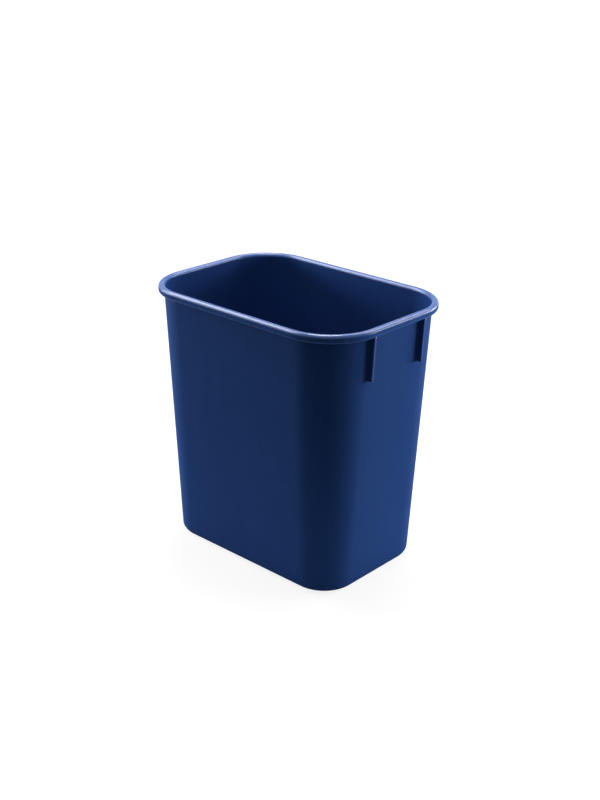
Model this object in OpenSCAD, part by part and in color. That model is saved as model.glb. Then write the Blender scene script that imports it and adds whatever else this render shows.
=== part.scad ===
// Rectangular open-topped wastebasket, a thin moulding with a rolled rim and nest ribs
// Each region of the moulding is a solid of its own that meets its neighbours face to face
// Millimetres, +Z up, origin on the standing plane at the middle of the base
// The long front wall faces -Y and the right-hand end wall faces +X

/* [Overall size] */
// Length over the rim, end to end
basket_length = 365; // [300:1:460]
// Width over the rim, front to rear
basket_width = 260; // [210:1:320]
// Height from the standing plane to the top of the rim
basket_height = 381; // [300:1:460]

/* [Walls] */
// Thickness of the walls and the foot
wall_t = 2; // [1.6:0.1:2.8]
// Lean of every wall from upright, in degrees
wall_draft = 2.8; // [1:0.1:3.6]

/* [Rolled rim] */
// Outer radius of the rim's corners, seen from above
rim_corner_r = 76; // [62:1:92]
// Outer radius of the half-round roll along the top of the rim
rim_roll_r = 4.9; // [4.2:0.1:6.2]
// Height of the rim from its lower edge to its top
rim_height = 12; // [10.5:0.5:17]
// Outer radius of the inward curl along the lower edge of the rim
rim_curl_r = 4; // [3.2:0.1:4.8]

/* [Base] */
// Outer radius where the walls turn into the foot
base_edge_r = 10.5; // [6:0.5:14]
// Width of the flat foot
foot_width = 12; // [8:1:16]
// Height of the underside of the floor over the standing plane
floor_rise = 4; // [2:0.5:6]
// Thickness of the floor
floor_t = 2.2; // [1.8:0.1:3.5]
// Slope of the step from the foot up to the floor, in degrees
step_slope = 60; // [40:1:75]
// Diameter of the shallow gate recess in the middle of the underside
gate_d = 18; // [10:1:30]
// Depth of the gate recess
gate_depth = 0.8; // [0.4:0.1:1.2]

/* [Nest ribs] */
// Length of a rib below the rim
rib_length = 60; // [30:1:90]
// Thickness of a rib at its top
rib_top_t = 4.6; // [3:0.1:7]
// Thickness of a rib at its lower end
rib_bottom_t = 3.8; // [2:0.1:6]
// Distance from the end of the flat of the end wall to a rib
rib_setback = 0.5; // [0:0.5:30]
// How far the top of a rib's outer edge stays inside the rim's outer face
rib_edge_inset = 0.4; // [0:0.1:2]

/* [Hidden] */
$fn = 96;

basket_blue = "#1f3c74";

// Sides and corners are numbered anticlockwise from +X, seen from above
RIGHT = 0;
REAR = 1;
LEFT = 2;
FRONT = 3;
REAR_RIGHT = 0;
REAR_LEFT = 1;
FRONT_LEFT = 2;
FRONT_RIGHT = 3;

// Centre of each corner's arcs, shared by every height because the draft is the same all round
corner_x = basket_length / 2 - rim_corner_r;
corner_y = basket_width / 2 - rim_corner_r;

// Sections are drawn with x as the distance out from the corner centres and y as the height
// The roll turns from the wall's inner face to the rim's outer face in half a circle
roll_out = rim_corner_r - rim_roll_r;
roll_z = basket_height - rim_roll_r;
rim_z = basket_height - rim_height;
curl_out = rim_corner_r - rim_curl_r;
curl_z = rim_z + rim_curl_r;

// The walls hang from the inner side of the roll and lean in towards the base
lean = tan(wall_draft);
wall_across = wall_t / cos(wall_draft);
function wall_in(z) = roll_out - rim_roll_r - (roll_z - z) * lean;
function wall_out(z) = wall_in(z) + wall_across;

// The base bend touches the wall's outer face and the standing plane
bend_z = base_edge_r;
bend_out = wall_out(bend_z) - base_edge_r / cos(wall_draft);
bend = [bend_out, bend_z];
bend_normal = [cos(wall_draft), -sin(wall_draft)];
foot_in = bend_out - foot_width;
floor_out = foot_in - floor_rise / tan(step_slope);
floor_top = floor_rise + floor_t;
step_mitre = tan(step_slope / 2);

rib_z = rim_z - rib_length;
rib_out = rim_corner_r - rib_edge_inset;
rib_y = corner_y - rib_setback - rib_top_t / 2;
rib_reach = basket_length / 2;

// The outer edge of a rib leans as the walls do
function rib_edge(z) = rib_out - (rim_z - z) * lean;

module wall_section() {
  polygon([
    [wall_in(bend_z), bend_z],
    [wall_out(bend_z), bend_z],
    [wall_out(rim_z), rim_z],
    [wall_in(rim_z), rim_z],
  ]);
}

// Disc of the roll or the curl, drawn inset by the wall's thickness for the channel
module rim_disc(out, z, r) {
  translate([out, z])
    circle(r);
}

// Outside of the rim, filled
module rim_outline() {
  rim_disc(roll_out, roll_z, rim_roll_r);
  rim_disc(curl_out, curl_z, rim_curl_r);
  polygon([
    [wall_in(rim_z), rim_z],
    [curl_out, rim_z],
    [rim_corner_r, curl_z],
    [rim_corner_r, roll_z],
    [wall_in(roll_z), roll_z],
  ]);
}

// Channel under the roll, open downwards between the wall and the curl's free edge
module rim_channel() {
  rim_disc(roll_out, roll_z, rim_roll_r - wall_t);
  rim_disc(curl_out, curl_z, rim_curl_r - wall_t);
  polygon([
    [wall_out(rim_z), rim_z - wall_t],
    [curl_out, rim_z - wall_t],
    [curl_out, rim_z + wall_t],
    [rim_corner_r - wall_t, curl_z],
    [rim_corner_r - wall_t, roll_z],
    [wall_in(roll_z) + wall_t, roll_z],
    [wall_out(rim_z), rim_z],
  ]);
}

// Rolled lip of even thickness, with a rounded free edge
module rim_section() {
  difference() {
    rim_outline();
    rim_channel();
  }
  rim_disc(curl_out, rim_z + wall_t / 2, wall_t / 2);
}

// Outside of the bend, the foot and the step, filled up to the wall's lower end
module base_outline() {
  intersection() {
    union() {
      translate(bend)
        circle(base_edge_r);
      polygon([
        [floor_out, floor_rise],
        [foot_in, 0],
        [bend_out, 0],
        bend + base_edge_r * bend_normal,
        [wall_out(bend_z), bend_z],
        [floor_out, bend_z],
      ]);
    }
    square([rim_corner_r, bend_z]);
  }
}

// Inside of the basket above the bend, the foot and the step
module base_hollow() {
  translate(bend)
    circle(base_edge_r - wall_t);
  polygon([
    [floor_out, floor_top],
    [floor_out + floor_t * step_mitre, floor_top],
    [foot_in + wall_t * step_mitre, wall_t],
    [bend_out, wall_t],
    bend + (base_edge_r - wall_t) * bend_normal,
    [wall_in(bend_z), bend_z],
    [wall_in(bend_z), bend_z + wall_t],
    [floor_out, bend_z + wall_t],
  ]);
}

module base_section() {
  difference() {
    base_outline();
    base_hollow();
  }
}

// Rib from the wall to the line of the rim, let into the channel under the roll
module rib_section() {
  difference() {
    polygon([
      [wall_out(rib_z) - wall_across / 2, rib_z],
      [rib_edge(rib_z), rib_z],
      [rib_out, rim_z],
      [rib_out, roll_z],
      [wall_out(roll_z) - wall_across / 2, roll_z],
    ]);
    rim_section();
    wall_section();
  }
}

// Carries a section along the straight of one side
module along_side(side) {
  lengthwise = side == FRONT || side == REAR;
  out = lengthwise ? corner_y : corner_x;
  run = lengthwise ? 2 * corner_x : 2 * corner_y;
  rotate(90 * side)
    translate([out, run / 2, 0])
      rotate([90, 0, 0])
        linear_extrude(run)
          children();
}

// Carries a section round one corner
module round_corner(corner) {
  side_x = corner == REAR_RIGHT || corner == FRONT_RIGHT ? 1 : -1;
  side_y = corner == REAR_RIGHT || corner == REAR_LEFT ? 1 : -1;
  translate([side_x * corner_x, side_y * corner_y, 0])
    rotate(90 * corner)
      rotate_extrude(angle = 90)
        children();
}

// Carries a section all the way round the basket
module all_round() {
  for (quarter = [0:3]) {
    along_side(quarter)
      children();
    round_corner(quarter)
      children();
  }
}

module rounded_plan(corner_r) {
  square([2 * (corner_x + corner_r), 2 * corner_y], center = true);
  square([2 * corner_x, 2 * (corner_y + corner_r)], center = true);
  for (x = [-corner_x, corner_x], y = [-corner_y, corner_y])
    translate([x, y])
      circle(corner_r);
}

module wall(side) {
  color(basket_blue)
    along_side(side)
      wall_section();
}

module wall_corner(corner) {
  color(basket_blue)
    round_corner(corner)
      wall_section();
}

module floor_panel() {
  color(basket_blue)
    difference() {
      translate([0, 0, floor_rise])
        linear_extrude(floor_t)
          rounded_plan(floor_out);
      translate([0, 0, floor_rise])
        cylinder(d = gate_d, h = 2 * gate_depth, center = true);
    }
}

module base_edge() {
  color(basket_blue)
    all_round()
      base_section();
}

module rolled_rim() {
  color(basket_blue)
    all_round()
      rim_section();
}

// Thin upright fin that narrows downwards, on the +X or the -X end
module nest_rib(end, y) {
  color(basket_blue)
    rotate(end == RIGHT ? 0 : 180)
      translate([0, end == RIGHT ? y : -y, 0])
        intersection() {
          translate([corner_x, rib_top_t / 2, 0])
            rotate([90, 0, 0])
              linear_extrude(rib_top_t)
                rib_section();
          rotate([90, 0, 90])
            linear_extrude(rib_reach)
              polygon([
                [-rib_bottom_t / 2, rib_z],
                [rib_bottom_t / 2, rib_z],
                [rib_top_t / 2, roll_z],
                [-rib_top_t / 2, roll_z],
              ]);
        }
}

floor_panel();
base_edge();
wall(FRONT);  // front_wall
wall(REAR);  // rear_wall
wall(LEFT);  // left_end_wall
wall(RIGHT);  // right_end_wall
wall_corner(FRONT_LEFT);  // front_left_corner
wall_corner(FRONT_RIGHT);  // front_right_corner
wall_corner(REAR_LEFT);  // rear_left_corner
wall_corner(REAR_RIGHT);  // rear_right_corner
rolled_rim();
nest_rib(RIGHT, -rib_y);  // right_front_nest_rib
nest_rib(RIGHT, rib_y);  // right_rear_nest_rib
nest_rib(LEFT, -rib_y);  // left_front_nest_rib
nest_rib(LEFT, rib_y);  // left_rear_nest_rib
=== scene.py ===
"""Looks of a moulded office wastebasket: seamless shell, nest ribs, satin blue plastic and a plain studio."""

import logging
import math
from collections.abc import Mapping, Sequence
from dataclasses import dataclass, field
from enum import Enum
from typing import Any, Self

import bmesh
import bpy
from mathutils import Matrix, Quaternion, Vector

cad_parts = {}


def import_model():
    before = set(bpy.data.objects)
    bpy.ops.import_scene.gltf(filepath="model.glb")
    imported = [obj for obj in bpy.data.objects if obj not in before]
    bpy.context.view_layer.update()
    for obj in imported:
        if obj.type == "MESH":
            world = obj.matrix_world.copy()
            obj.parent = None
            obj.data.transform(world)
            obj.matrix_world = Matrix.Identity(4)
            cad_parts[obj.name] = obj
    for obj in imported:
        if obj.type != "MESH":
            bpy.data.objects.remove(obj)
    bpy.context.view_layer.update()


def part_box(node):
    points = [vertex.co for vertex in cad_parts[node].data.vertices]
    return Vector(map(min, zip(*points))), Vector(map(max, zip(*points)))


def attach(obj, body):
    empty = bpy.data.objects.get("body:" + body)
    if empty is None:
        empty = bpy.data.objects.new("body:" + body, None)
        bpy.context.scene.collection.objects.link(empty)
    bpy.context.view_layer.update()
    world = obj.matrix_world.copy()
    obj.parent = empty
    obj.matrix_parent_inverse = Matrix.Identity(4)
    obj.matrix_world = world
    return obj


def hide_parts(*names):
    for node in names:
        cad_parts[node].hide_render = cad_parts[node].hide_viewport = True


LOG = logging.getLogger("wastebasket")

BODY = "root"

# Vertex layers that tell the finish where the plastic is scuffed, with painted light, and where it is
# polished
RUB_AND_PAINTED_LIGHT = "edge_rub_and_painted_light"
POLISH = "edge_polish"

NOISE_MEAN = 0.5
TINY = 1e-6

# A straight run gets holding points only where it is longer than this many holding distances
HOLD_ROOM = 4

Point2 = tuple[float, float]
Point3 = tuple[float, float, float]
Colour = tuple[float, float, float, float]
Ring = list[bmesh.types.BMVert]


class Side(Enum):
    """The flat sides of the basket, as quarter turns from the right-hand end."""

    RIGHT = 0
    REAR = 1
    LEFT = 2
    FRONT = 3


class End(Enum):
    """The two short ends, as the sign of X."""

    RIGHT = 1
    LEFT = -1


class Shine(Enum):
    """How a lamp acts: fully, only as a reflection in gloss, or only on matt surfaces."""

    FULL = "full"
    GLOSS = "gloss"
    MATT = "matt"


class Wire:
    """A shader socket that adds a Math node for each arithmetic operation."""

    def __init__(self, graph: "Graph", socket: bpy.types.NodeSocket) -> None:
        """Keeps the socket and the graph that it belongs to."""
        self.graph = graph
        self.socket = socket

    def _math(self, operation: str, first: Any, second: Any) -> "Wire":
        """Adds one Math node and returns its result."""
        return self.graph.node("ShaderNodeMath", {"operation": operation}, {0: first, 1: second})

    def __add__(self, other: Any) -> "Wire":
        """Returns self + other."""
        return self._math("ADD", self, other)

    def __radd__(self, other: Any) -> "Wire":
        """Returns other + self."""
        return self._math("ADD", other, self)

    def __sub__(self, other: Any) -> "Wire":
        """Returns self - other."""
        return self._math("SUBTRACT", self, other)

    def __rsub__(self, other: Any) -> "Wire":
        """Returns other - self."""
        return self._math("SUBTRACT", other, self)

    def __mul__(self, other: Any) -> "Wire":
        """Returns self * other."""
        return self._math("MULTIPLY", self, other)

    def __rmul__(self, other: Any) -> "Wire":
        """Returns other * self."""
        return self._math("MULTIPLY", other, self)

    def __or__(self, other: Any) -> "Wire":
        """Returns the larger of two masks."""
        return self._math("MAXIMUM", self, other)

    def __ror__(self, other: Any) -> "Wire":
        """Returns the larger of two masks."""
        return self._math("MAXIMUM", other, self)


@dataclass(frozen=True)
class Noise:
    """A noise pattern.

    Attributes:
        scale: Features per metre.
        detail: Octaves.
        roughness: Weight of the finer octaves.
    """

    scale: float
    detail: float
    roughness: float = 0.5


class Graph:
    """A node tree that is filled by expressions."""

    def __init__(self, tree: bpy.types.NodeTree) -> None:
        """Keeps the node tree of a material or a world, and empties it."""
        self.tree = tree
        tree.nodes.clear()

    def node(
        self,
        kind: str,
        settings: Mapping[str, Any] | None = None,
        sockets: Mapping[int | str, Any] | None = None,
        result: int | str = 0,
    ) -> Wire:
        """Adds a node.

        Args:
            kind: The node's type.
            settings: Its properties, set before its sockets.
            sockets: A value or a Wire for each input, by name or place.
            result: The output that is returned.

        Returns:
            The chosen output.
        """
        made = self.tree.nodes.new(kind)
        for name, value in (settings or {}).items():
            setattr(made, name, value)
        for key, value in (sockets or {}).items():
            if isinstance(value, Wire):
                self.tree.links.new(value.socket, made.inputs[key])
            else:
                made.inputs[key].default_value = value
        return Wire(self, made.outputs[result])

    def output(self, kind: str, shader: Wire) -> None:
        """Ends the tree in an output node of the given type."""
        made = self.tree.nodes.new(kind)
        self.tree.links.new(shader.socket, made.inputs["Surface"])

    def smooth(self, value: Wire, low: float, high: float, start: float = 0.0, end: float = 1.0) -> Wire:
        """Eases a value from one number to another.

        Args:
            value: What is mapped.
            low: Value at which the result is start.
            high: Value at which the result is end.
            start: Result at and below low.
            end: Result at and above high.

        Returns:
            The eased result.
        """
        return self.node(
            "ShaderNodeMapRange",
            {"interpolation_type": "SMOOTHSTEP"},
            {"Value": value, "From Min": low, "From Max": high, "To Min": start, "To Max": end},
        )

    def tint(self, share: Wire, first: Wire | Colour, second: Wire | Colour) -> Wire:
        """Mixes two colours.

        Args:
            share: How much of the second colour shows.
            first: Colour at 0.
            second: Colour at 1.

        Returns:
            The mixed colour.
        """
        return self.node("ShaderNodeMix", {"data_type": "RGBA"}, {0: share, 6: first, 7: second}, 2)

    def noise(self, place: Wire, pattern: Noise) -> Wire:
        """Adds a noise value.

        Args:
            place: Coordinates in metres.
            pattern: The pattern that is laid over them.

        Returns:
            The noise, about 0.5 on average.
        """
        sockets = {
            "Vector": place,
            "Scale": pattern.scale,
            "Detail": pattern.detail,
            "Roughness": pattern.roughness,
        }
        return self.node("ShaderNodeTexNoise", {"noise_dimensions": "3D"}, sockets)

    def stretched(self, place: Wire, factors: Point3) -> Wire:
        """Scales coordinates by a factor for each axis."""
        return self.node("ShaderNodeVectorMath", {"operation": "MULTIPLY"}, {0: place, 1: factors})


@dataclass(frozen=True)
class MouldedPlastic:
    """Satin polyethylene: finely grained walls, a polished rim, and edges paler with wear and with painted
    light.

    Attributes:
        name: Name of the material.
        deep: Colour where the pigment is dense.
        pale: Colour where it is thin.
        rubbed_and_painted_light: Paler colour of fully scuffed plastic, which also paints light onto the rim
            and the ribs' edges.
        cloud: Broad patches of tone.
        streak: Upright flow lines.
        streak_run: How the flow lines are drawn out along each axis.
        cloud_share: Weight of the patches in the tone, the rest being flow lines.
        tone_span: Noise at which the tone is deep and at which it is pale.
        speck: Fine specks that break up the rubbing and its painted light.
        speck_span: Noise at which rubbing and painted light are weakest and at which they are full.
        speck_rub_and_painted_light: Rubbing and painted light at those two places.
        rub_and_painted_light_strength: How much of the paler colour of rubbing and painted light shows at
            most.
        grain: Etched grain of the mould.
        grain_height: Height of the grain in metres.
        grain_loss: How much of the grain is lost on polished plastic.
        ripple: Slow waves of the moulding.
        ripple_height: Height of the waves in grain heights.
        roughness: Roughness of the walls.
        cloud_satin: Change of roughness over the patches.
        speck_satin: Change of roughness over the specks.
        polish_satin: Roughness that the polish takes away.
        worn_satin: Roughness that rubbing adds.
        specular: Specular level of the walls.
        ior: Index of refraction of the plastic.
        rim_gloss: Weight of the gloss on polished plastic.
        worn_gloss: Gloss that rubbing takes away.
        rim_gloss_roughness: Roughness of that gloss.
    """

    name: str = "moulded_blue_plastic"
    deep: Colour = (0.0165, 0.0515, 0.187, 1.0)
    pale: Colour = (0.0188, 0.0565, 0.203, 1.0)
    rubbed_and_painted_light: Colour = (0.0300, 0.1100, 0.390, 1.0)
    cloud: Noise = Noise(7.0, 3.0)
    streak: Noise = Noise(55.0, 3.0, 0.6)
    streak_run: Point3 = (1.0, 1.0, 0.12)
    cloud_share: float = 0.6
    tone_span: Point2 = (0.3, 0.7)
    speck: Noise = Noise(260.0, 3.0, 0.65)
    speck_span: Point2 = (0.36, 0.70)
    speck_rub_and_painted_light: Point2 = (0.40, 1.0)
    rub_and_painted_light_strength: float = 0.55
    grain: Noise = Noise(1.0 / 0.0007, 2.0, 0.55)
    grain_height: float = 0.00003
    grain_loss: float = 0.85
    ripple: Noise = Noise(38.0, 2.0)
    ripple_height: float = 1.6
    roughness: float = 0.68
    cloud_satin: float = 0.10
    speck_satin: float = 0.08
    polish_satin: float = 0.20
    worn_satin: float = 0.10
    specular: float = 0.015
    ior: float = 1.5
    rim_gloss: float = 0.9
    worn_gloss: float = 0.2
    rim_gloss_roughness: float = 0.26

    def material(self) -> bpy.types.Material:
        """Makes the material.

        Returns:
            The material.
        """
        made = bpy.data.materials.new(self.name)
        made.use_nodes = True
        graph = Graph(made.node_tree)
        place = graph.node("ShaderNodeTexCoord", result="Object")
        polish = graph.node("ShaderNodeAttribute", {"attribute_name": POLISH}, result="Fac")
        rub_and_painted_light = graph.node("ShaderNodeAttribute", {"attribute_name": RUB_AND_PAINTED_LIGHT}, result="Fac")

        # Pigment that flowed up the walls from the gate leaves faint upright streaks
        cloud = graph.noise(place, self.cloud)
        streak = graph.noise(graph.stretched(place, self.streak_run), self.streak)
        tone = graph.smooth(self.cloud_share * cloud + (1.0 - self.cloud_share) * streak, *self.tone_span)
        speck = graph.noise(place, self.speck)
        # Scuffs take a paler colour, which also paints light on the rim's crest and face and on the ribs'
        # edges
        worn_and_painted_light = rub_and_painted_light * graph.smooth(speck, *self.speck_span, *self.speck_rub_and_painted_light)
        fresh = graph.tint(tone, self.deep, self.pale)
        colour = graph.tint(self.rub_and_painted_light_strength * worn_and_painted_light, fresh, self.rubbed_and_painted_light)

        # Etched grain from the mould on the walls, little of it where the rim is polished
        grain = graph.noise(place, self.grain)
        ripple = graph.noise(place, self.ripple)
        relief = grain * (1.0 - self.grain_loss * polish) + self.ripple_height * ripple
        normal = graph.node(
            "ShaderNodeBump",
            sockets={"Strength": 1.0, "Distance": self.grain_height, "Height": relief},
        )
        satin = self.roughness + self.cloud_satin * (cloud - NOISE_MEAN)
        satin = satin + self.speck_satin * (speck - NOISE_MEAN)
        surface = graph.node(
            "ShaderNodeBsdfPrincipled",
            sockets={
                "Base Color": colour,
                "Roughness": satin - self.polish_satin * polish + self.worn_satin * worn_and_painted_light,
                "Normal": normal,
                "Coat Weight": polish * (self.rim_gloss - self.worn_gloss * worn_and_painted_light),
                "Coat Roughness": self.rim_gloss_roughness,
                "Coat IOR": self.ior,
                "IOR": self.ior,
                "Specular IOR Level": self.specular,
            },
        )
        graph.output("ShaderNodeOutputMaterial", surface)
        return made


@dataclass(frozen=True)
class BasketSizes:
    """Sizes of the moulding in metres: those read from the frame first, then those of its section.

    Attributes:
        length: Length over the rim.
        height: Height of the rim's top.
        rim_low: Height of the rim's lower edge.
        corner_x: Distance of the corner centres from the middle, along the length.
        corner_y: The same across it.
        bend_z: Height at which the walls turn into the foot, which is the bend's radius too.
        floor_low: Height of the floor's underside.
        floor_high: Height of the floor's top.
        floor_out: Distance of the floor's edge from the corner centres.
        wall: Thickness of the walls.
        draft: Lean of the walls from upright.
        roll_r: Radius of the roll along the top of the rim.
        curl_r: Radius of the curl along the rim's lower edge.
        foot_width: Width of the flat foot.
    """

    length: float
    height: float
    rim_low: float
    corner_x: float
    corner_y: float
    bend_z: float
    floor_low: float
    floor_high: float
    floor_out: float
    wall: float = 0.0020
    draft: float = math.radians(2.8)
    roll_r: float = 0.0049
    curl_r: float = 0.0040
    foot_width: float = 0.0120

    @classmethod
    def from_frame(cls) -> Self:
        """Reads the driving sizes from the CAD nodes.

        Returns:
            The sizes.
        """
        rim_from, rim_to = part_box("rolled_rim")
        floor_from, floor_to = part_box("floor_panel")
        corner_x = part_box("front_wall")[1].x
        return cls(
            length=rim_to.x - rim_from.x,
            height=rim_to.z,
            rim_low=rim_from.z,
            corner_x=corner_x,
            corner_y=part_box("right_end_wall")[1].y,
            bend_z=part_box("base_edge")[1].z,
            floor_low=floor_from.z,
            floor_high=floor_to.z,
            floor_out=floor_to.x - corner_x,
        )

    @property
    def rim_out(self) -> float:
        """Distance of the rim's outer face from the corner centres."""
        return self.length / 2 - self.corner_x

    @property
    def roll(self) -> Point2:
        """Centre of the roll along the top of the rim, as distance out and height."""
        return self.rim_out - self.roll_r, self.height - self.roll_r

    @property
    def curl(self) -> Point2:
        """Centre of the curl along the rim's lower edge."""
        return self.rim_out - self.curl_r, self.rim_low + self.curl_r

    @property
    def bend(self) -> Point2:
        """Centre of the bend between the walls and the foot."""
        return self.wall_out(self.bend_z) - self.bend_z / math.cos(self.draft), self.bend_z

    @property
    def foot_in(self) -> float:
        """Inner edge of the flat foot."""
        return self.bend[0] - self.foot_width

    def wall_in(self, z: float) -> float:
        """Distance of the walls' inner face from the corner centres at a height."""
        roll_out, roll_z = self.roll
        return roll_out - self.roll_r - (roll_z - z) * math.tan(self.draft)

    def wall_out(self, z: float) -> float:
        """Distance of the walls' outer face from the corner centres at a height."""
        return self.wall_in(z) + self.wall / math.cos(self.draft)


class Outline:
    """A section line drawn point by point, as distance out and height."""

    def __init__(self, start: Point2) -> None:
        """Starts the line at a point."""
        self.points: list[Point2] = [start]

    def line(self, end: Point2, pieces: int = 1, edge: float = 0.0006) -> Self:
        """Goes straight to a point.

        Args:
            end: Where the line goes.
            pieces: Number of equal pieces.
            edge: Distance from both ends at which a holding point is set, to keep the flat flat.

        Returns:
            The outline.
        """
        start = self.points[-1]
        reach = math.dist(start, end)
        shares = [i / pieces for i in range(1, pieces)]
        if reach > HOLD_ROOM * edge:
            shares = [edge / reach, *shares, 1 - edge / reach]
        for share in [*shares, 1.0]:
            out = start[0] + (end[0] - start[0]) * share
            z = start[1] + (end[1] - start[1]) * share
            self.points.append((out, z))
        return self

    def arc(self, centre: Point2, radius: float, start: float, end: float, pieces: int) -> Self:
        """Goes round an arc, first straight to its beginning.

        Args:
            centre: Centre of the arc.
            radius: Radius of the arc.
            start: First angle in degrees, from straight out towards up.
            end: Last angle in degrees.
            pieces: Number of equal pieces.

        Returns:
            The outline.
        """
        for i in range(pieces + 1):
            angle = math.radians(start + (end - start) * i / pieces)
            point = (centre[0] + radius * math.cos(angle), centre[1] + radius * math.sin(angle))
            if i > 0:
                self.points.append(point)
            elif math.dist(point, self.points[-1]) > TINY:
                self.line(point)
        return self

    def rounded(self, corner: Point2, end: Point2, radius: float, pieces: int = 4) -> Self:
        """Goes towards a corner, round it and on in the direction of a further point.

        Args:
            corner: The sharp corner.
            end: A point beyond it, which is not reached.
            radius: Radius of the rounding.
            pieces: Number of pieces in it.

        Returns:
            The outline.
        """
        before = (Vector(self.points[-1]) - Vector(corner)).normalized()
        after = (Vector(end) - Vector(corner)).normalized()
        half = before.angle(after) / 2
        middle = Vector(corner) + (before + after).normalized() * (radius / math.sin(half))
        first = Vector(corner) + before * (radius / math.tan(half)) - middle
        last = Vector(corner) + after * (radius / math.tan(half)) - middle
        start = math.degrees(math.atan2(first.y, first.x))
        turn = (math.degrees(math.atan2(last.y, last.x)) - start + 180) % 360 - 180
        return self.arc((middle.x, middle.y), radius, start, start + turn, pieces)


def clamped(value: float) -> float:
    """Keeps a share between 0 and 1."""
    return min(1.0, max(0.0, value))


def join_rings(mesh: bmesh.types.BMesh, lower: Ring, upper: Ring) -> None:
    """Fills the band between two rings with quads.

    Args:
        mesh: The mesh that is added to.
        lower: One ring.
        upper: The next ring, with as many vertices.
    """
    count = len(lower)
    for i in range(count):
        j = (i + 1) % count
        mesh.faces.new((lower[i], lower[j], upper[j], upper[i]))


def finish_piece(
    mesh: bmesh.types.BMesh, name: str, finish: bpy.types.Material, nodes: Sequence[str]
) -> bpy.types.Object:
    """Turns a mesh into a smooth, dressed piece that rides on the body and stands for its nodes.

    Args:
        mesh: The mesh, which is freed.
        name: Name of the piece.
        finish: Its material.
        nodes: CAD nodes that it stands for.

    Returns:
        The piece.
    """
    bmesh.ops.recalc_face_normals(mesh, faces=mesh.faces)
    for face in mesh.faces:
        face.smooth = True
    data = bpy.data.meshes.new(name)
    mesh.to_mesh(data)
    mesh.free()
    data.materials.append(finish)
    piece = bpy.data.objects.new(name, data)
    bpy.context.scene.collection.objects.link(piece)
    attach(piece, BODY)
    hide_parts(*nodes)
    return piece


@dataclass(frozen=True)
class PlanStation:
    """One place round the basket.

    Attributes:
        base: A point on the box of corner centres.
        way: The way out from it.
        sink: How far the wall sinks in there, half way up.
    """

    base: Point2
    way: Point2
    sink: float


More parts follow.
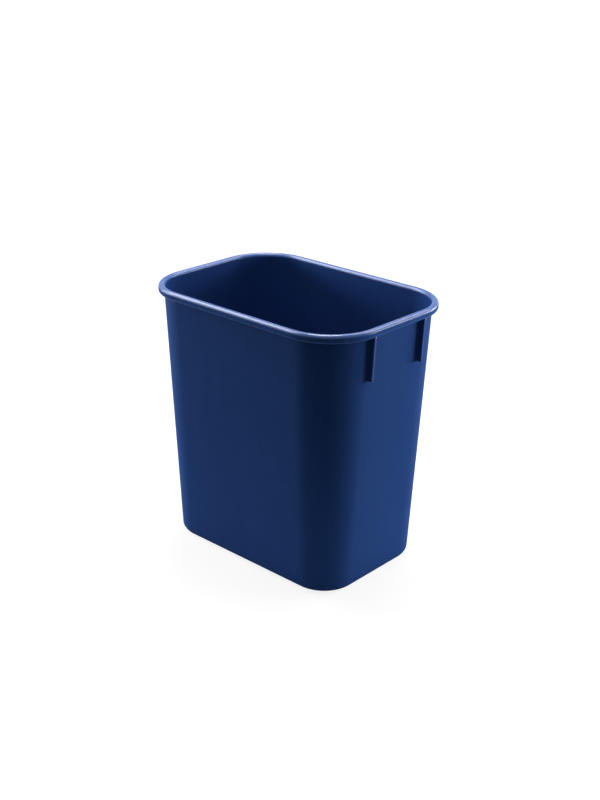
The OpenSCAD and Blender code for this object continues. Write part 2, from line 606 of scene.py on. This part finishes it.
@dataclass
class BasketShell:
    """The moulding without its ribs: floor, foot, walls, corners and rolled rim in one seamless skin.

    Attributes:
        sizes: Sizes of the moulding.
        finish: Its material.
        side_shares: Places along each flat side, as shares of it.
        corner_pieces: Pieces round each corner of the plan.
        wall_pieces: Pieces up each face of the walls.
        wall_hold: Distance of the holding points from the ends of the walls.
        bend_pieces: Pieces in the outer and in the inner bend of the base.
        channel_pieces: Pieces in the channel under the roll and in its outer lip.
        edge_pieces: Pieces round the rim's free edge.
        curl_pieces: Pieces in the curl along the rim's lower edge.
        roll_pieces: Pieces over the roll.
        neck_pieces: Pieces down the inner side of the rim.
        floor_strip: Width of the floor that belongs to the section.
        floor_rings: Radii of the rings that close the top of the floor.
        long_sink: Sink of the long walls.
        short_sink: Sink of the short walls.
        gate_r: Radius of the gate recess.
        gate_depth: Its depth.
        gate_round: Rounding of its edges.
        gate_pieces: Pieces in that rounding.
        gate_margin: Flat ring round it.
        nub_r: Radius of the nub in it.
        nub_height: Height of the nub.
        nub_slope: Width of the nub's slope.
        nub_flat: Radius of the flat on the nub, as a share of the nub's.
        step_round: Rounding of the step between the foot and the floor.
        foot_rub_height: Height at which the rubbing of the foot ends.
        foot_rub_margin: How far the rubbing goes inwards past the foot's edge.
        crest_rub_and_painted_light: How fast the rubbing, with its painted light, grows up the roll.
        face_rub_and_painted_light: Rubbing of the rim's outer face, which also paints light on it.
        face_rub_and_painted_light_depth: Distance from that face at which it ends.
        crest_from: Level on the roll at which the polish starts.
        crest_full: Level at which it is full.
        inner_rise: How much faster rubbing with its painted light and polish grow on the inner half of the
            roll.
        lip_polish: Polish along the rim's lower edge.
        name: Name of the piece.
        nodes: CAD nodes that it stands for.
    """

    sizes: BasketSizes
    finish: bpy.types.Material
    side_shares: tuple[float, ...] = (0.0, 0.015, 0.1, 0.2, 0.3, 0.4, 0.5, 0.6, 0.7, 0.8, 0.9, 0.985)
    corner_pieces: int = 28
    wall_pieces: int = 16
    wall_hold: float = 0.0012
    bend_pieces: tuple[int, int] = (10, 8)
    channel_pieces: tuple[int, int] = (14, 6)
    edge_pieces: int = 8
    curl_pieces: int = 8
    roll_pieces: int = 20
    neck_pieces: int = 2
    floor_strip: float = 0.0030
    floor_rings: Point2 = (0.0300, 0.0100)
    long_sink: float = 0.0010
    short_sink: float = 0.0004
    gate_r: float = 0.0090
    gate_depth: float = 0.0008
    gate_round: float = 0.0003
    gate_pieces: int = 3
    gate_margin: float = 0.0120
    nub_r: float = 0.0022
    nub_height: float = 0.0006
    nub_slope: float = 0.0004
    nub_flat: float = 0.4
    step_round: float = 0.0012
    foot_rub_height: float = 0.0060
    foot_rub_margin: float = 0.0010
    crest_rub_and_painted_light: float = 1.6
    face_rub_and_painted_light: float = 0.8
    face_rub_and_painted_light_depth: float = 0.0012
    crest_from: float = 0.08
    crest_full: float = 0.45
    inner_rise: float = 2.5
    lip_polish: float = 0.25
    name: str = "basket_shell"
    nodes: tuple[str, ...] = (
        "floor_panel",
        "base_edge",
        "front_wall",
        "rear_wall",
        "left_end_wall",
        "right_end_wall",
        "front_left_corner",
        "front_right_corner",
        "rear_left_corner",
        "rear_right_corner",
        "rolled_rim",
    )

    def outside(self) -> list[Point2]:
        """Draws the section from the floor's underside round the foot, up the wall and through the channel.

        Returns:
            The points up to the rim's free edge.
        """
        s = self.sizes
        step_in = (s.floor_out, s.floor_low)
        foot_edge = (s.foot_in, 0.0)
        channel_pieces, lip_pieces = self.channel_pieces
        line = Outline((s.floor_out - self.floor_strip, s.floor_low))
        line.rounded(step_in, foot_edge, self.step_round)
        line.rounded(foot_edge, (s.bend[0], 0.0), self.step_round)
        line.arc(s.bend, s.bend_z, -90.0, -math.degrees(s.draft), self.bend_pieces[0])
        line.line((s.wall_out(s.rim_low), s.rim_low), self.wall_pieces, self.wall_hold)
        line.arc(s.roll, s.roll_r - s.wall, 180.0, 0.0, channel_pieces)
        line.arc(s.curl, s.curl_r - s.wall, 0.0, -90.0, lip_pieces)
        line.arc((s.curl[0], s.rim_low + s.wall / 2), s.wall / 2, 90.0, 270.0, self.edge_pieces)
        return line.points

    def inside(self) -> list[Point2]:
        """Draws the section from the rim's free edge over the roll, down the wall and on to the floor.

        Returns:
            The points from the rim's free edge on.
        """
        s = self.sizes
        mitre = math.tan(math.atan(s.floor_low / (s.foot_in - s.floor_out)) / 2)
        foot_edge = (s.foot_in + s.wall * mitre, s.wall)
        step_in = (s.floor_out + (s.floor_high - s.floor_low) * mitre, s.floor_high)
        inner = s.bend_z - s.wall
        wall_foot = (s.bend[0] + inner * math.cos(-s.draft), s.bend[1] + inner * math.sin(-s.draft))
        line = Outline((s.curl[0], s.rim_low))
        line.arc(s.curl, s.curl_r, -90.0, 0.0, self.curl_pieces)
        line.arc(s.roll, s.roll_r, 0.0, 180.0, self.roll_pieces)
        line.line((s.wall_in(s.rim_low), s.rim_low), self.neck_pieces)
        line.line(wall_foot, self.wall_pieces, self.wall_hold)
        line.arc(s.bend, inner, -math.degrees(s.draft), -90.0, self.bend_pieces[1])
        line.rounded(foot_edge, step_in, self.step_round)
        line.rounded(step_in, (0.0, s.floor_high), self.step_round)
        line.line((s.floor_out - self.floor_strip, s.floor_high))
        return line.points

    def section(self) -> list[Point2]:
        """Joins the outside and the inside of the section into one line."""
        return [*self.outside(), *self.inside()[1:]]

    def plan(self) -> list[PlanStation]:
        """Goes once round the basket from the front end of the right-hand wall, anticlockwise from above.

        Returns:
            The stations, which close to a loop.
        """
        s = self.sizes
        stations: list[PlanStation] = []
        for side in Side:
            turn = side.value * math.pi / 2
            way = (math.cos(turn), math.sin(turn))
            along = (-way[1], way[0])
            lengthwise = side in (Side.FRONT, Side.REAR)
            out = s.corner_y if lengthwise else s.corner_x
            half = s.corner_x if lengthwise else s.corner_y
            sink = self.long_sink if lengthwise else self.short_sink
            for share in self.side_shares:
                step = half * (2 * share - 1)
                base = (way[0] * out + along[0] * step, way[1] * out + along[1] * step)
                stations.append(PlanStation(base, way, sink * math.sin(math.pi * share) ** 2))
            centre = (way[0] * out + along[0] * half, way[1] * out + along[1] * half)
            for i in range(self.corner_pieces):
                angle = turn + math.pi / 2 * i / self.corner_pieces
                stations.append(PlanStation(centre, (math.cos(angle), math.sin(angle)), 0.0))
        return stations

    def sunk(self, z: float) -> float:
        """Finds the share of a wall's sink at a height: none at the foot and the rim, most half way up.

        Args:
            z: The height.

        Returns:
            The share.
        """
        s = self.sizes
        share = (z - s.bend_z) / (s.rim_low - s.bend_z)
        return math.sin(math.pi * share) if 0.0 < share < 1.0 else 0.0

    def crest_level(self, out: float, z: float) -> float:
        """Finds how far up the roll a point is, which grows faster on the roll's inner half.

        Args:
            out: Distance out of the point.
            z: Height of the point.

        Returns:
            The level, which is 0 at the middle of the roll and 1 or more on top.
        """
        s = self.sizes
        level = (z - s.roll[1]) / s.roll_r
        return level if out > s.roll[0] else self.inner_rise * level

    def rubbed_and_painted_light(self, out: float, z: float) -> float:
        """Finds the scuffing at a point: along the foot, the lower bend and the roll of the rim, where it
        also paints light.

        Args:
            out: Distance out of the point.
            z: Height of the point.

        Returns:
            The share of scuffing and painted light.
        """
        s = self.sizes
        on_foot = out > s.foot_in - self.foot_rub_margin
        foot = max(0.0, 1.0 - z / self.foot_rub_height) if on_foot else 0.0
        crest = clamped(self.crest_rub_and_painted_light * self.crest_level(out, z))
        face = max(0.0, 1.0 - (s.rim_out - out) / self.face_rub_and_painted_light_depth) if z > s.rim_low else 0.0
        return max(foot, crest, self.face_rub_and_painted_light * face)

    def polished(self, out: float, z: float) -> float:
        """Finds the polish of a point of the section: full on the rim's crest and slight on its lower edge.

        Args:
            out: Distance out of the point.
            z: Height of the point.

        Returns:
            The share of polish, which is nothing on the walls and on the rim's upright face.
        """
        s = self.sizes
        crest = self.eased(self.crest_level(out, z))
        on_lip = out > s.curl[0] and z > s.rim_low
        lip = self.eased((s.curl[1] - z) / s.curl_r) if on_lip else 0.0
        return max(crest, self.lip_polish * lip)

    def eased(self, level: float) -> float:
        """Turns how far a point of the rim faces up or down into a smooth share."""
        share = clamped((level - self.crest_from) / (self.crest_full - self.crest_from))
        return share * share * (3.0 - 2.0 * share)

    def build(self) -> bpy.types.Object:
        """Builds the skin, dresses it and hands it to the frame.

        Returns:
            The piece.
        """
        mesh = bmesh.new()
        rub_and_painted_light = mesh.verts.layers.float.new(RUB_AND_PAINTED_LIGHT)
        polish = mesh.verts.layers.float.new(POLISH)
        plan = self.plan()
        rings: list[Ring] = []
        for out, z in self.section():
            ring = []
            for station in plan:
                reach = out - station.sink * self.sunk(z)
                base, way = station.base, station.way
                vertex = mesh.verts.new((base[0] + way[0] * reach, base[1] + way[1] * reach, z))
                # The paler scuff colour also paints light on the rim's crest and outer face
                vertex[rub_and_painted_light] = self.rubbed_and_painted_light(out, z)
                vertex[polish] = self.polished(out, z)
                ring.append(vertex)
            rings.append(ring)
        for lower, upper in zip(rings, rings[1:]):
            join_rings(mesh, lower, upper)
        self.close_underside(mesh, rings[0])
        self.close_floor(mesh, rings[-1])
        return finish_piece(mesh, self.name, self.finish, self.nodes)

    def close_underside(self, mesh: bmesh.types.BMesh, ring: Ring) -> None:
        """Closes the underside of the floor, with the gate recess and the cut-off nub in its middle.

        Args:
            mesh: The mesh that is added to.
            ring: The first ring of the section.
        """
        low = self.sizes.floor_low
        deep = low + self.gate_depth
        nub_end = deep - self.nub_height
        recess = Outline((self.gate_r + self.gate_margin, low))
        recess.rounded((self.gate_r, low), (self.gate_r, deep), self.gate_round, self.gate_pieces)
        recess.rounded((self.gate_r, deep), (0.0, deep), self.gate_round, self.gate_pieces)
        recess.line((self.nub_r + self.nub_slope, deep))
        recess.line((self.nub_r, nub_end))
        recess.line((self.nub_flat * self.nub_r, nub_end))
        self.close_towards(mesh, ring, recess.points)

    def close_floor(self, mesh: bmesh.types.BMesh, ring: Ring) -> None:
        """Closes the top of the floor from the last ring of the section."""
        self.close_towards(mesh, ring, [(radius, self.sizes.floor_high) for radius in self.floor_rings])

    @staticmethod
    def close_towards(mesh: bmesh.types.BMesh, ring: Ring, circles: Sequence[Point2]) -> None:
        """Closes a ring inwards through circles round the middle and a fan.

        Args:
            mesh: The mesh that is added to.
            ring: The outer ring.
            circles: Radius and height of each circle, from the outside in; the last is level with the middle.
        """
        ways = [vertex.co.to_2d().normalized() for vertex in ring]
        for radius, z in circles:
            inner = [mesh.verts.new((way.x * radius, way.y * radius, z)) for way in ways]
            join_rings(mesh, ring, inner)
            ring = inner
        middle = mesh.verts.new((0.0, 0.0, circles[-1][1]))
        for i, vertex in enumerate(ring):
            mesh.faces.new((vertex, ring[(i + 1) % len(ring)], middle))


@dataclass
class NestRib:
    """A short upright fin under the rim that stops stacked baskets from jamming.

    Attributes:
        sizes: Sizes of the moulding.
        finish: Its material.
        end: The end of the basket that it is on.
        node: The CAD node that it stands for.
        length: Length below the rim.
        top_width: Width at the top.
        low_width: Width at the lower end.
        edge_inset: How far its outer edge stays inside the rim's outer face.
        edge_round: Rounding of the outer edge and the lower end.
        root_round: Fillet at the wall.
        root_sink: How far its root goes into the wall, as a share of the wall's thickness.
        rim_sink: The same for its top and the rim's outer side.
        rim_step: Heights over the rim's lower edge between which the tip steps out into the rim.
        run_shares: Places of the sections along its straight run.
        edge_rub_and_painted_light: Rubbing of the outer edge, which also paints light along it.
        edge_polish: Polish of the outer edge.
        pieces: Pieces in each rounding.
    """

    sizes: BasketSizes
    finish: bpy.types.Material
    end: End
    node: str
    length: float = 0.0600
    top_width: float = 0.0046
    low_width: float = 0.0038
    edge_inset: float = 0.0004
    edge_round: float = 0.0011
    root_round: float = 0.0006
    root_sink: float = 0.4
    rim_sink: float = 0.7
    rim_step: Point2 = (0.0026, 0.0030)
    run_shares: tuple[float, ...] = (0.02, 0.25, 0.5, 0.75, 0.98)
    edge_rub_and_painted_light: float = 1.0
    edge_polish: float = 0.3
    pieces: int = 4

    @property
    def middle(self) -> float:
        """Place of the rib across the end wall."""
        low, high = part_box(self.node)
        return (low.y + high.y) / 2

    @property
    def low(self) -> float:
        """Height of the rib's lower end."""
        return self.sizes.rim_low - self.length

    def half_width(self, z: float) -> float:
        """Half the rib's width at a height."""
        share = (z - self.low) / (self.sizes.roll[1] - self.low)
        return (self.low_width + (self.top_width - self.low_width) * share) / 2

    def tip(self, z: float) -> float:
        """Finds the rib's outer edge, which leans as the walls do and ends in the rim.

        Args:
            z: The height.

        Returns:
            Its distance from the corner centres.
        """
        s = self.sizes
        if z > s.rim_low + sum(self.rim_step) / 2:
            return s.rim_out - self.rim_sink * s.wall
        return s.rim_out - self.edge_inset - max(0.0, s.rim_low - z) * math.tan(s.draft)

    def half_section(self, z: float, inset: float) -> list[Point2]:
        """Draws half of the rib's level section from the wall to its outer edge.

        Args:
            z: Height of the section.
            inset: How far the free faces are drawn in, to round the lower end.

        Returns:
            Points as distance out and distance from the rib's middle plane.
        """
        s = self.sizes
        half = self.half_width(z) - inset
        side = half + self.root_round
        root = s.wall_out(z)
        tip = self.tip(z) - inset
        line = Outline((root - self.root_sink * s.wall, side))
        line.points.append((root, side))
        line.arc((root + self.root_round, side), self.root_round, 180.0, 270.0, self.pieces)
        line.arc((tip - self.edge_round, half - self.edge_round), self.edge_round, 90.0, 0.0, self.pieces)
        return line.points

    def levels(self) -> list[Point2]:
        """Lists the heights of the sections with their insets, from the rounded lower end up into the rim.

        Returns:
            Height and inset of each section.
        """
        s = self.sizes
        levels: list[Point2] = []
        for i in reversed(range(self.pieces + 1)):
            angle = math.pi / 2 * i / self.pieces
            rise = self.edge_round * (1 - math.sin(angle))
            levels.append((self.low + rise, self.edge_round * (1 - math.cos(angle))))
        run = self.length - self.edge_round
        levels += [(self.low + self.edge_round + run * share, 0.0) for share in self.run_shares]
        levels += [(s.rim_low + step, 0.0) for step in self.rim_step]
        return [*levels, (s.roll[1], 0.0)]

    def build(self) -> bpy.types.Object:
        """Builds the rib, dresses it and hands it to the frame.

        Returns:
            The piece.
        """
        mesh = bmesh.new()
        rub_and_painted_light = mesh.verts.layers.float.new(RUB_AND_PAINTED_LIGHT)
        polish = mesh.verts.layers.float.new(POLISH)
        rings: list[Ring] = []
        for z, inset in self.levels():
            half = self.half_section(z, inset)
            ring = []
            for out, across in [*half, *((out, -across) for out, across in reversed(half))]:
                x = self.end.value * (self.sizes.corner_x + out)
                vertex = mesh.verts.new((x, self.middle + self.end.value * across, z))
                # The outer edge takes the paler scuff colour, which also paints light along it
                edge = max(0.0, 1.0 - (self.tip(z) - out) / self.edge_round)
                vertex[rub_and_painted_light] = self.edge_rub_and_painted_light * edge
                vertex[polish] = self.edge_polish * edge
                ring.append(vertex)
            rings.append(ring)
        for lower, upper in zip(rings, rings[1:]):
            join_rings(mesh, lower, upper)
        mesh.faces.new(rings[0])
        mesh.faces.new(rings[-1])
        return finish_piece(mesh, self.node + "_fin", self.finish, (self.node,))


@dataclass(frozen=True)
class Softbox:
    """A rectangular studio lamp that faces the basket.

    Attributes:
        name: Name of the lamp.
        turn: Where it stands round the basket, in degrees from +X.
        reach: Level distance from the basket's middle.
        height: Height over the floor.
        width: Level side of its face.
        tall: Other side of its face.
        watts: Its power.
        shine: How it acts.
    """

    name: str
    turn: float
    reach: float
    height: float
    width: float
    tall: float
    watts: float
    shine: Shine = Shine.FULL

    def build(self, aim: Point3) -> bpy.types.Object:
        """Hangs the lamp.

        Args:
            aim: The point that it faces.

        Returns:
            The lamp.
        """
        lamp = bpy.data.lights.new(self.name, "AREA")
        lamp.shape = "RECTANGLE"
        lamp.size = self.width
        lamp.size_y = self.tall
        lamp.energy = self.watts
        made = bpy.data.objects.new(self.name, lamp)
        angle = math.radians(self.turn)
        made.location = (self.reach * math.cos(angle), self.reach * math.sin(angle), self.height)
        made.rotation_euler = (Vector(aim) - made.location).to_track_quat("-Z", "Y").to_euler()
        made.visible_camera = False
        made.visible_diffuse = self.shine is not Shine.GLOSS
        made.visible_glossy = self.shine is not Shine.MATT
        bpy.context.scene.collection.objects.link(made)
        LOG.info("lamp %s: %.1f W", self.name, self.watts)
        return made


def grey(share: float) -> Colour:
    """Makes a grey of one share."""
    return share, share, share, 1.0


@dataclass
class Studio:
    """Plain pale floor, soft boxes and the camera.

    Attributes:
        boxes: The lamps.
        aim: The point that they face.
        sky: Light of the backdrop on the basket.
        floor_r: Radius of the floor.
        floor_sides: Sides of its outline.
        floor_gap: How far it lies under the basket's foot.
        floor_bounce: Greys that the floor bounces light with, near the basket and far from it.
        pool: Distances over which the painted pool of light near the basket passes into the far grey.
        floor_white: Brightness of the floor itself, before the lamps' light on it.
        floor_catch: Grey that catches the lamps' light and the shadow.
        fade: Distances between which the floor passes into the white backdrop.
        eye: Where the camera stands.
        look: The point in the middle of the picture.
        roll: How far the camera is rolled.
        focal_px: Focal length in pixels of the picture.
        picture_height: Height of the picture in pixels.
        sensor: Size of the sensor along the picture's longer side.
        clip_end: How far the camera sees.
    """

    boxes: tuple[Softbox, ...] = (
        Softbox("left_box", -166.0, 1.30, 0.57, 0.60, 0.26, 14.5, Shine.MATT),
        Softbox("left_low_box", -158.0, 1.20, 0.12, 0.70, 0.22, 5.0),
        Softbox("right_box", 52.0, 0.95, 0.38, 0.85, 0.44, 11.5),
        Softbox("top_box", -90.0, 0.25, 1.65, 0.50, 0.50, 4.5),
        Softbox("crown_box", 138.0, 0.36, 1.65, 0.50, 0.50, 20.0),
        Softbox("rear_top_box", 108.0, 0.75, 1.50, 0.60, 0.60, 8.0),
        Softbox("left_card", 197.0, 1.20, 1.62, 1.10, 0.90, 36.0, Shine.GLOSS),
        Softbox("front_left_card", -150.0, 1.40, 0.90, 1.20, 1.35, 26.0, Shine.GLOSS),
        Softbox("rear_card", 68.0, 1.30, 1.57, 0.85, 0.72, 15.0, Shine.GLOSS),
    )
    aim: Point3 = (0.0, 0.0, 0.20)
    sky: float = 0.11
    floor_r: float = 16.0
    floor_sides: int = 96
    floor_gap: float = 0.0002
    floor_bounce: Point2 = (0.58, 0.14)
    pool: Point2 = (0.28, 0.52)
    floor_white: float = 0.84
    floor_catch: float = 0.20
    fade: Point2 = (0.35, 1.20)
    eye: Point3 = (1.07012, -1.17708, 0.87980)
    look: Point3 = (-0.00134, 0.01242, 0.21380)
    roll: float = math.radians(0.79)
    focal_px: float = 1217.9
    picture_height: int = 800
    sensor: float = 36.0
    clip_end: float = 100.0

    def backdrop_rays(self, graph: Graph) -> Wire:
        """Masks the rays that see the backdrop: camera, glossy and transmission rays.

        Args:
            graph: The graph that the mask is added to.

        Returns:
            The mask.
        """
        camera = graph.node("ShaderNodeLightPath", result="Is Camera Ray")
        glossy = graph.node("ShaderNodeLightPath", result="Is Glossy Ray")
        through = graph.node("ShaderNodeLightPath", result="Is Transmission Ray")
        return camera | glossy | through

    def floor_finish(self) -> bpy.types.Material:
        """Makes a white that catches a soft shadow and bounces little light, except a painted pool of light
        near the basket.

        Returns:
            The material.
        """
        made = bpy.data.materials.new("white_floor")
        made.use_nodes = True
        graph = Graph(made.node_tree)
        place = graph.node("ShaderNodeTexCoord", result="Object")
        reach = graph.node("ShaderNodeVectorMath", {"operation": "LENGTH"}, {0: place}, "Value")
        far = graph.smooth(reach, *self.fade)
        strength = self.floor_white + far * (1.0 - self.floor_white)
        white = graph.node("ShaderNodeEmission", sockets={"Strength": strength})
        catch = graph.node("ShaderNodeBsdfDiffuse", sockets={"Color": grey(self.floor_catch)})
        shown = graph.node("ShaderNodeAddShader", sockets={0: white, 1: catch})
        near_grey, far_grey = (grey(share) for share in self.floor_bounce)
        pooled = graph.tint(graph.smooth(reach, *self.pool), near_grey, far_grey)
        bounce = graph.node("ShaderNodeBsdfDiffuse", sockets={"Color": pooled})
        rays = self.backdrop_rays(graph)
        mix = graph.node("ShaderNodeMixShader", sockets={0: rays, 1: bounce, 2: shown})
        graph.output("ShaderNodeOutputMaterial", mix)
        return made

    def build_floor(self) -> bpy.types.Object:
        """Lays a round floor.

        Returns:
            The floor.
        """
        mesh = bmesh.new()
        bmesh.ops.create_circle(mesh, cap_ends=True, segments=self.floor_sides, radius=self.floor_r)
        data = bpy.data.meshes.new("studio_floor")
        mesh.to_mesh(data)
        mesh.free()
        data.materials.append(self.floor_finish())
        floor = bpy.data.objects.new("studio_floor", data)
        floor.location.z = -self.floor_gap
        bpy.context.scene.collection.objects.link(floor)
        LOG.info("floor: radius %.0f m", self.floor_r)
        return floor

    def build_world(self) -> None:
        """Sets a white backdrop that lights the basket only faintly."""
        world = bpy.data.worlds.new("studio_backdrop")
        world.use_nodes = True
        graph = Graph(world.node_tree)
        strength = self.backdrop_rays(graph) * (1.0 - self.sky) + self.sky
        backdrop = graph.node("ShaderNodeBackground", sockets={"Color": grey(1.0), "Strength": strength})
        graph.output("ShaderNodeOutputWorld", backdrop)
        bpy.context.scene.world = world

    def build_camera(self) -> bpy.types.Object:
        """Stands the camera at the photograph's viewing angle.

        Returns:
            The camera.
        """
        lens = bpy.data.cameras.new("camera")
        lens.sensor_fit = "AUTO"
        lens.sensor_width = self.sensor
        lens.lens = self.focal_px * self.sensor / self.picture_height
        lens.clip_end = self.clip_end
        camera = bpy.data.objects.new("camera", lens)
        camera.location = self.eye
        facing = (Vector(self.look) - Vector(self.eye)).to_track_quat("-Z", "Y")
        camera.rotation_mode = "QUATERNION"
        camera.rotation_quaternion = facing @ Quaternion((0.0, 0.0, 1.0), self.roll)
        bpy.context.scene.collection.objects.link(camera)
        bpy.context.scene.camera = camera
        LOG.info("camera: lens %.2f mm", lens.lens)
        return camera

    def build(self) -> None:
        """Builds the whole studio."""
        self.build_camera()
        self.build_floor()
        self.build_world()
        for box in self.boxes:
            box.build(self.aim)
        bpy.context.scene.view_settings.view_transform = "Standard"


@dataclass
class Wastebasket:
    """The whole basket: shell and four nest ribs in one finish.

    Attributes:
        sizes: Sizes of the moulding.
        plastic: Its finish.
        ribs: End and CAD node of each rib.
    """

    sizes: BasketSizes
    plastic: MouldedPlastic = field(default_factory=MouldedPlastic)
    ribs: tuple[tuple[End, str], ...] = (
        (End.RIGHT, "right_front_nest_rib"),
        (End.RIGHT, "right_rear_nest_rib"),
        (End.LEFT, "left_front_nest_rib"),
        (End.LEFT, "left_rear_nest_rib"),
    )

    def build(self) -> list[bpy.types.Object]:
        """Builds every piece.

        Returns:
            The pieces.
        """
        finish = self.plastic.material()
        pieces = [BasketShell(self.sizes, finish).build()]
        pieces += [NestRib(self.sizes, finish, end, node).build() for end, node in self.ribs]
        return pieces


def main() -> None:
    """Builds the basket and the studio round the frame."""
    logging.basicConfig(level=logging.INFO, format="%(name)s: %(message)s")
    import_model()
    Studio().build()
    for piece in Wastebasket(BasketSizes.from_frame()).build():
        LOG.info("%s: %d faces", piece.name, len(piece.data.polygons))


if __name__ == "__main__":
    main()
